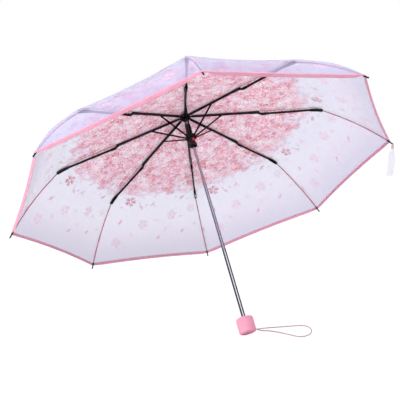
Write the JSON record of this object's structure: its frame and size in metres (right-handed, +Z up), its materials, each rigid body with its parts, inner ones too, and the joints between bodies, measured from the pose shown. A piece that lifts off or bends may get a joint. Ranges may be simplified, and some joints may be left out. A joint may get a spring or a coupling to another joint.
{
  "type": "folding umbrella",
  "caption": "Open folding umbrella with a clear printed film canopy on jointed ribs, a telescoping shaft with a sliding runner, a short grip and a wrist cord.",
  "frame": {"origin": "centre of the bounding box at floor level, the umbrella lying open on two rib tips and the edge of its grip", "axes": "+Z up from the floor, +X along the line of the two tips that touch it, +Y from the grip towards those tips"},
  "size_m": [0.8775, 0.6802, 0.5897],
  "materials": {
    "canopy_film": "clear lavender film with printed blossom",
    "pink_binding": "glossy pink film binding",
    "strap_film": "clear film",
    "handle_pink": "satin pink",
    "cord_pink": "braided cord",
    "shaft_steel": "bright plated steel",
    "rib_black": "black painted steel",
    "hub_black": "black moulded plastic",
    "button_red": "red moulded plastic"
  },
  "bodies": {
    "grip": {"handle": "handle_pink", "handle_plate": "handle_pink", "wrist_cord": "cord_pink", "lower_tube": "shaft_steel"},
    "middle_section": {"middle_tube": "shaft_steel"},
    "head": {"upper_tube": "shaft_steel", "crown": "hub_black", "crown_cap": "hub_black", "canopy": "canopy_film", "canopy_hem": "pink_binding"},
    "slider": {"runner": "hub_black"},
    "release": {"runner_button": "button_red"},
    "arm_top_rib_1": {"top_rib_1": "rib_black"},
    "arm_stretcher_1": {"stretcher_1": "rib_black"},
    "arm_link_1": {"link_1": "rib_black"},
    "arm_middle_rib_1": {"middle_rib_1": "rib_black"},
    "arm_tip_rib_1": {"tip_rib_1": "rib_black"},
    "arm_top_rib_2": {"top_rib_2": "rib_black"},
    "arm_stretcher_2": {"stretcher_2": "rib_black"},
    "arm_link_2": {"link_2": "rib_black"},
    "arm_middle_rib_2": {"middle_rib_2": "rib_black"},
    "arm_tip_rib_2": {"tip_rib_2": "rib_black"},
    "arm_top_rib_3": {"top_rib_3": "rib_black"},
    "arm_stretcher_3": {"stretcher_3": "rib_black"},
    "arm_link_3": {"link_3": "rib_black"},
    "arm_middle_rib_3": {"middle_rib_3": "rib_black"},
    "arm_tip_rib_3": {"tip_rib_3": "rib_black"},
    "arm_top_rib_4": {"top_rib_4": "rib_black"},
    "arm_stretcher_4": {"stretcher_4": "rib_black"},
    "arm_link_4": {"link_4": "rib_black"},
    "arm_middle_rib_4": {"middle_rib_4": "rib_black"},
    "arm_tip_rib_4": {"tip_rib_4": "rib_black"},
    "arm_top_rib_5": {"top_rib_5": "rib_black"},
    "arm_stretcher_5": {"stretcher_5": "rib_black"},
    "arm_link_5": {"link_5": "rib_black"},
    "arm_middle_rib_5": {"middle_rib_5": "rib_black"},
    "arm_tip_rib_5": {"tip_rib_5": "rib_black"},
    "arm_top_rib_6": {"top_rib_6": "rib_black"},
    "arm_stretcher_6": {"stretcher_6": "rib_black"},
    "arm_link_6": {"link_6": "rib_black"},
    "arm_middle_rib_6": {"middle_rib_6": "rib_black"},
    "arm_tip_rib_6": {"tip_rib_6": "rib_black"},
    "arm_top_rib_7": {"top_rib_7": "rib_black"},
    "arm_stretcher_7": {"stretcher_7": "rib_black"},
    "arm_link_7": {"link_7": "rib_black"},
    "arm_middle_rib_7": {"middle_rib_7": "rib_black"},
    "arm_tip_rib_7": {"tip_rib_7": "rib_black"},
    "arm_top_rib_8": {"top_rib_8": "rib_black"},
    "arm_stretcher_8": {"stretcher_8": "rib_black"},
    "arm_link_8": {"link_8": "rib_black"},
    "arm_middle_rib_8": {"middle_rib_8": "rib_black"},
    "arm_tip_rib_8": {"tip_rib_8": "rib_black", "closure_strap": "strap_film"}
  },
  "joints": [
    {"name": "middle_telescope", "type": "slide", "parent": "grip", "child": "middle_section", "axis": [0, -0.6344, -0.773], "range_m": [0, 0.15725]},
    {"name": "upper_telescope", "type": "slide", "parent": "middle_section", "child": "head", "axis": [0, -0.6344, -0.773], "range_m": [0, 0.15725]},
    {"name": "top_hinge_1", "type": "hinge", "parent": "head", "child": "arm_top_rib_1", "pos_m": [0.00878, 0.12993, 0.44021], "axis": [-0.3827, 0.7142, -0.5861], "range_deg": [0, 76.7], "deforming": ["canopy", "canopy_hem", "closure_strap"]},
    {"name": "stretcher_hinge_1", "type": "hinge", "parent": "arm_top_rib_1", "child": "arm_stretcher_1", "pos_m": [0.08397, 0.14369, 0.40788], "axis": [0.3827, -0.7142, 0.5861], "range_deg": [0, 137.58]},
    {"name": "link_hinge_1", "type": "hinge", "parent": "arm_stretcher_1", "child": "arm_link_1", "pos_m": [0.08128, 0.14184, 0.40739], "axis": [-0.3827, 0.7142, -0.5861], "range_deg": [0, 136.78]},
    {"name": "middle_hinge_1", "type": "hinge", "parent": "arm_top_rib_1", "child": "arm_middle_rib_1", "pos_m": [0.16642, 0.15877, 0.37243], "axis": [0.3827, -0.7142, 0.5861], "range_deg": [0, 177.09]},
    {"name": "tip_hinge_1", "type": "hinge", "parent": "arm_middle_rib_1", "child": "arm_tip_rib_1", "pos_m": [0.30874, 0.18147, 0.30716], "axis": [-0.3827, 0.7142, -0.5861], "range_deg": [0, 143.67]},
    {"name": "top_hinge_2", "type": "hinge", "parent": "head", "child": "arm_top_rib_2", "pos_m": [0.00364, 0.1339, 0.43695], "axis": [-0.9239, 0.2958, -0.2428], "range_deg": [0, 76.74]},
    {"name": "stretcher_hinge_2", "type": "hinge", "parent": "arm_top_rib_2", "child": "arm_stretcher_2", "pos_m": [0.03478, 0.18171, 0.37667], "axis": [0.9239, -0.2958, 0.2428], "range_deg": [0, 137.58]},
    {"name": "link_hinge_2", "type": "hinge", "parent": "arm_stretcher_2", "child": "arm_link_2", "pos_m": [0.03367, 0.17865, 0.37718], "axis": [-0.9239, 0.2958, -0.2428], "range_deg": [0, 136.78]},
    {"name": "middle_hinge_2", "type": "hinge", "parent": "arm_top_rib_2", "child": "arm_middle_rib_2", "pos_m": [0.06893, 0.23413, 0.31059], "axis": [0.9239, -0.2958, 0.2428], "range_deg": [0, 177.09]},
    {"name": "tip_hinge_2", "type": "hinge", "parent": "arm_middle_rib_2", "child": "arm_tip_rib_2", "pos_m": [0.12788, 0.32128, 0.19243], "axis": [-0.9239, 0.2958, -0.2428], "range_deg": [0, 143.67]},
    {"name": "top_hinge_3", "type": "hinge", "parent": "head", "child": "arm_top_rib_3", "pos_m": [-0.00364, 0.1339, 0.43695], "axis": [-0.9239, -0.2958, 0.2428], "range_deg": [0, 76.74]},
    {"name": "stretcher_hinge_3", "type": "hinge", "parent": "arm_top_rib_3", "child": "arm_stretcher_3", "pos_m": [-0.03478, 0.18171, 0.37667], "axis": [0.9239, 0.2958, -0.2428], "range_deg": [0, 137.58]},
    {"name": "link_hinge_3", "type": "hinge", "parent": "arm_stretcher_3", "child": "arm_link_3", "pos_m": [-0.03367, 0.17865, 0.37718], "axis": [-0.9239, -0.2958, 0.2428], "range_deg": [0, 136.78]},
    {"name": "middle_hinge_3", "type": "hinge", "parent": "arm_top_rib_3", "child": "arm_middle_rib_3", "pos_m": [-0.06893, 0.23413, 0.31059], "axis": [0.9239, 0.2958, -0.2428], "range_deg": [0, 177.09]},
    {"name": "tip_hinge_3", "type": "hinge", "parent": "arm_middle_rib_3", "child": "arm_tip_rib_3", "pos_m": [-0.12788, 0.32128, 0.19243], "axis": [-0.9239, -0.2958, 0.2428], "range_deg": [0, 143.67]},
    {"name": "top_hinge_4", "type": "hinge", "parent": "head", "child": "arm_top_rib_4", "pos_m": [-0.00878, 0.12993, 0.44021], "axis": [-0.3827, -0.7142, 0.5861], "range_deg": [0, 76.74]},
    {"name": "stretcher_hinge_4", "type": "hinge", "parent": "arm_top_rib_4", "child": "arm_stretcher_4", "pos_m": [-0.08397, 0.14369, 0.40788], "axis": [0.3827, 0.7142, -0.5861], "range_deg": [0, 137.58]},
    {"name": "link_hinge_4", "type": "hinge", "parent": "arm_stretcher_4", "child": "arm_link_4", "pos_m": [-0.08128, 0.14184, 0.40739], "axis": [-0.3827, -0.7142, 0.5861], "range_deg": [0, 136.78]},
    {"name": "middle_hinge_4", "type": "hinge", "parent": "arm_top_rib_4", "child": "arm_middle_rib_4", "pos_m": [-0.16642, 0.15877, 0.37243], "axis": [0.3827, 0.7142, -0.5861], "range_deg": [0, 177.09]},
    {"name": "tip_hinge_4", "type": "hinge", "parent": "arm_middle_rib_4", "child": "arm_tip_rib_4", "pos_m": [-0.30874, 0.18147, 0.30716], "axis": [-0.3827, -0.7142, 0.5861], "range_deg": [0, 143.67]},
    {"name": "top_hinge_5", "type": "hinge", "parent": "head", "child": "arm_top_rib_5", "pos_m": [-0.00878, 0.12431, 0.44482], "axis": [0.3827, -0.7142, 0.5861], "range_deg": [0, 76.74]},
    {"name": "stretcher_hinge_5", "type": "hinge", "parent": "arm_top_rib_5", "child": "arm_stretcher_5", "pos_m": [-0.08397, 0.08991, 0.45201], "axis": [-0.3827, 0.7142, -0.5861], "range_deg": [0, 137.58]},
    {"name": "link_hinge_5", "type": "hinge", "parent": "arm_stretcher_5", "child": "arm_link_5", "pos_m": [-0.08128, 0.08979, 0.4501], "axis": [0.3827, -0.7142, 0.5861], "range_deg": [0, 136.78]},
    {"name": "middle_hinge_5", "type": "hinge", "parent": "arm_top_rib_5", "child": "arm_middle_rib_5", "pos_m": [-0.16642, 0.0522, 0.45989], "axis": [-0.3827, 0.7142, -0.5861], "range_deg": [0, 177.09]},
    {"name": "tip_hinge_5", "type": "hinge", "parent": "arm_middle_rib_5", "child": "arm_tip_rib_5", "pos_m": [-0.30874, -0.01624, 0.46942], "axis": [0.3827, -0.7142, 0.5861], "range_deg": [0, 143.67]},
    {"name": "top_hinge_6", "type": "hinge", "parent": "head", "child": "arm_top_rib_6", "pos_m": [-0.00364, 0.12033, 0.44808], "axis": [0.9239, -0.2958, 0.2428], "range_deg": [0, 76.74]},
    {"name": "stretcher_hinge_6", "type": "hinge", "parent": "arm_top_rib_6", "child": "arm_stretcher_6", "pos_m": [-0.03478, 0.05189, 0.48322], "axis": [-0.9239, 0.2958, -0.2428], "range_deg": [0, 137.58]},
    {"name": "link_hinge_6", "type": "hinge", "parent": "arm_stretcher_6", "child": "arm_link_6", "pos_m": [-0.03367, 0.05299, 0.48031], "axis": [0.9239, -0.2958, 0.2428], "range_deg": [0, 136.78]},
    {"name": "middle_hinge_6", "type": "hinge", "parent": "arm_top_rib_6", "child": "arm_middle_rib_6", "pos_m": [-0.06893, -0.02315, 0.52173], "axis": [-0.9239, 0.2958, -0.2428], "range_deg": [0, 177.09]},
    {"name": "tip_hinge_6", "type": "hinge", "parent": "arm_middle_rib_6", "child": "arm_tip_rib_6", "pos_m": [-0.12788, -0.15604, 0.58416], "axis": [0.9239, -0.2958, 0.2428], "range_deg": [0, 143.67]},
    {"name": "top_hinge_7", "type": "hinge", "parent": "head", "child": "arm_top_rib_7", "pos_m": [0.00364, 0.12033, 0.44808], "axis": [0.9239, 0.2958, -0.2428], "range_deg": [0, 76.74]},
    {"name": "stretcher_hinge_7", "type": "hinge", "parent": "arm_top_rib_7", "child": "arm_stretcher_7", "pos_m": [0.03478, 0.05189, 0.48322], "axis": [-0.9239, -0.2958, 0.2428], "range_deg": [0, 137.58]},
    {"name": "link_hinge_7", "type": "hinge", "parent": "arm_stretcher_7", "child": "arm_link_7", "pos_m": [0.03367, 0.05299, 0.48031], "axis": [0.9239, 0.2958, -0.2428], "range_deg": [0, 136.78]},
    {"name": "middle_hinge_7", "type": "hinge", "parent": "arm_top_rib_7", "child": "arm_middle_rib_7", "pos_m": [0.06893, -0.02315, 0.52173], "axis": [-0.9239, -0.2958, 0.2428], "range_deg": [0, 177.09]},
    {"name": "tip_hinge_7", "type": "hinge", "parent": "arm_middle_rib_7", "child": "arm_tip_rib_7", "pos_m": [0.12788, -0.15604, 0.58416], "axis": [0.9239, 0.2958, -0.2428], "range_deg": [0, 143.67]},
    {"name": "top_hinge_8", "type": "hinge", "parent": "head", "child": "arm_top_rib_8", "pos_m": [0.00878, 0.12431, 0.44482], "axis": [0.3827, 0.7142, -0.5861], "range_deg": [0, 76.74]},
    {"name": "stretcher_hinge_8", "type": "hinge", "parent": "arm_top_rib_8", "child": "arm_stretcher_8", "pos_m": [0.08397, 0.08991, 0.45201], "axis": [-0.3827, -0.7142, 0.5861], "range_deg": [0, 137.58]},
    {"name": "link_hinge_8", "type": "hinge", "parent": "arm_stretcher_8", "child": "arm_link_8", "pos_m": [0.08128, 0.08979, 0.4501], "axis": [0.3827, 0.7142, -0.5861], "range_deg": [0, 136.78]},
    {"name": "middle_hinge_8", "type": "hinge", "parent": "arm_top_rib_8", "child": "arm_middle_rib_8", "pos_m": [0.16642, 0.0522, 0.45989], "axis": [-0.3827, -0.7142, 0.5861], "range_deg": [0, 177.09]},
    {"name": "tip_hinge_8", "type": "hinge", "parent": "arm_middle_rib_8", "child": "arm_tip_rib_8", "pos_m": [0.30874, -0.01624, 0.46942], "axis": [0.3827, 0.7142, -0.5861], "range_deg": [0, 143.67]},
    {"name": "runner_slide", "type": "slide", "parent": "head", "child": "slider", "axis": [0, -0.6344, -0.773], "range_m": [0, 0.11503]},
    {"name": "button_press", "type": "slide", "parent": "slider", "child": "release", "axis": [0, 0.773, -0.6344], "range_m": [0, 0.001], "stiffness_N_per_m": 2000, "springref_m": -0.0005}
  ],
  "couplings": [
    {"joint": "stretcher_hinge_1", "follows": "top_hinge_1", "ratio": 1.7928},
    {"joint": "link_hinge_1", "follows": "top_hinge_1", "ratio": 1.7824},
    {"joint": "middle_hinge_1", "follows": "top_hinge_1", "ratio": 2.3077},
    {"joint": "tip_hinge_1", "follows": "top_hinge_1", "ratio": 1.8722},
    {"joint": "top_hinge_2", "follows": "top_hinge_1", "ratio": 1},
    {"joint": "stretcher_hinge_2", "follows": "top_hinge_1", "ratio": 1.7928},
    {"joint": "link_hinge_2", "follows": "top_hinge_1", "ratio": 1.7824},
    {"joint": "middle_hinge_2", "follows": "top_hinge_1", "ratio": 2.3077},
    {"joint": "tip_hinge_2", "follows": "top_hinge_1", "ratio": 1.8722},
    {"joint": "top_hinge_3", "follows": "top_hinge_1", "ratio": 1},
    {"joint": "stretcher_hinge_3", "follows": "top_hinge_1", "ratio": 1.7928},
    {"joint": "link_hinge_3", "follows": "top_hinge_1", "ratio": 1.7824},
    {"joint": "middle_hinge_3", "follows": "top_hinge_1", "ratio": 2.3077},
    {"joint": "tip_hinge_3", "follows": "top_hinge_1", "ratio": 1.8722},
    {"joint": "top_hinge_4", "follows": "top_hinge_1", "ratio": 1},
    {"joint": "stretcher_hinge_4", "follows": "top_hinge_1", "ratio": 1.7928},
    {"joint": "link_hinge_4", "follows": "top_hinge_1", "ratio": 1.7824},
    {"joint": "middle_hinge_4", "follows": "top_hinge_1", "ratio": 2.3077},
    {"joint": "tip_hinge_4", "follows": "top_hinge_1", "ratio": 1.8722},
    {"joint": "top_hinge_5", "follows": "top_hinge_1", "ratio": 1},
    {"joint": "stretcher_hinge_5", "follows": "top_hinge_1", "ratio": 1.7928},
    {"joint": "link_hinge_5", "follows": "top_hinge_1", "ratio": 1.7824},
    {"joint": "middle_hinge_5", "follows": "top_hinge_1", "ratio": 2.3077},
    {"joint": "tip_hinge_5", "follows": "top_hinge_1", "ratio": 1.8722},
    {"joint": "top_hinge_6", "follows": "top_hinge_1", "ratio": 1},
    {"joint": "stretcher_hinge_6", "follows": "top_hinge_1", "ratio": 1.7928},
    {"joint": "link_hinge_6", "follows": "top_hinge_1", "ratio": 1.7824},
    {"joint": "middle_hinge_6", "follows": "top_hinge_1", "ratio": 2.3077},
    {"joint": "tip_hinge_6", "follows": "top_hinge_1", "ratio": 1.8722},
    {"joint": "top_hinge_7", "follows": "top_hinge_1", "ratio": 1},
    {"joint": "stretcher_hinge_7", "follows": "top_hinge_1", "ratio": 1.7928},
    {"joint": "link_hinge_7", "follows": "top_hinge_1", "ratio": 1.7824},
    {"joint": "middle_hinge_7", "follows": "top_hinge_1", "ratio": 2.3077},
    {"joint": "tip_hinge_7", "follows": "top_hinge_1", "ratio": 1.8722},
    {"joint": "top_hinge_8", "follows": "top_hinge_1", "ratio": 1},
    {"joint": "stretcher_hinge_8", "follows": "top_hinge_1", "ratio": 1.7928},
    {"joint": "link_hinge_8", "follows": "top_hinge_1", "ratio": 1.7824},
    {"joint": "middle_hinge_8", "follows": "top_hinge_1", "ratio": 2.3077},
    {"joint": "tip_hinge_8", "follows": "top_hinge_1", "ratio": 1.8722},
    {"joint": "runner_slide", "follows": "top_hinge_1", "m_per_rad": 0.085887}
  ]
}
